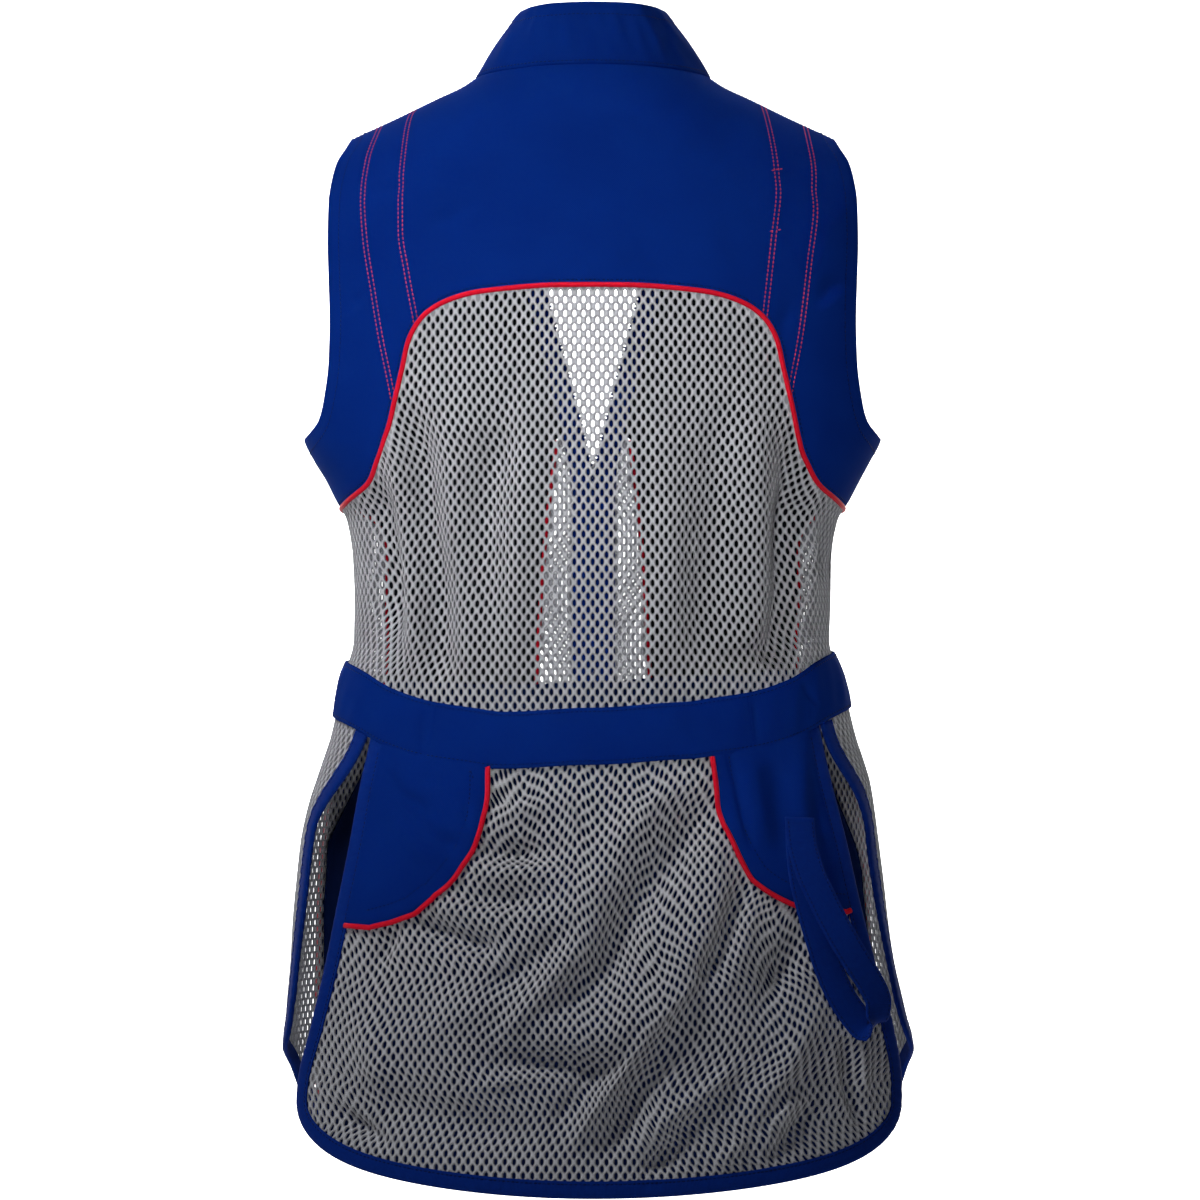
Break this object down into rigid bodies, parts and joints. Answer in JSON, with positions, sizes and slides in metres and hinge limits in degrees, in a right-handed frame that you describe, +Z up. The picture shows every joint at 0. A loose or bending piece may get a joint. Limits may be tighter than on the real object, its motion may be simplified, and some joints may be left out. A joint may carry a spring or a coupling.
{
  "type": "shooting vest",
  "caption": "Sleeveless zip-front shooting vest with a cotton yoke, knitted mesh back and split mesh skirt, bound in blue with red piping, in the hollow form of a wearer.",
  "frame": {"origin": "the middle of the neck between the shoulder seams, where the wearer's shoulders hold the vest up", "axes": "+Z up, +Y towards the back of the vest (the side in the picture), +X towards the wearer's left"},
  "size_m": [0.4242, 0.2576, 0.8053],
  "materials": {
    "cotton": "royal blue cotton drill, matt with a slight sheen",
    "mesh": "mid grey knitted polyester mesh with staggered oval holes",
    "piping": "red satin piping",
    "binding": "royal blue folded cotton binding",
    "zip_tape": "royal blue woven zip tape",
    "zip_metal": "satin grey metal"
  },
  "bodies": {
    "vest": {"collar": "cotton", "back_yoke": "cotton", "yoke_piping": "piping", "back_mesh": "mesh", "back_flap": "mesh", "back_flap_binding": "binding", "waistband_back": "cotton", "waistband_left": "cotton", "waistband_right": "cotton", "towel_loop": "binding", "hip_piping_left": "piping", "hip_piping_right": "piping", "hip_patch_left": "cotton", "hip_patch_right": "cotton", "front_patch_left": "cotton", "front_patch_right": "cotton", "strip_piping_left": "piping", "strip_piping_right": "piping", "side_piping_left": "piping", "side_piping_right": "piping", "front_strip_left": "mesh", "front_strip_right": "mesh", "side_mesh_left": "mesh", "side_mesh_right": "mesh", "placket_left": "cotton", "placket_right": "cotton", "zip_tape_left": "zip_tape", "zip_tape_right": "zip_tape", "front_flap_left": "mesh", "front_flap_right": "mesh", "front_flap_binding_left": "binding", "front_flap_binding_right": "binding", "pocket_piping_left": "piping", "pocket_piping_right": "piping", "front_pocket_left": "cotton", "front_pocket_right": "cotton", "zip_slider": "zip_metal"},
    "pull_tab": {"pull_tab": "zip_metal"}
  },
  "joints": [
    {"name": "pull_tab_hinge", "type": "hinge", "parent": "vest", "child": "pull_tab", "pos_m": [0, -0.1293, -0.2561], "axis": [-1, 0, 0], "range_deg": [0, 160]}
  ]
}
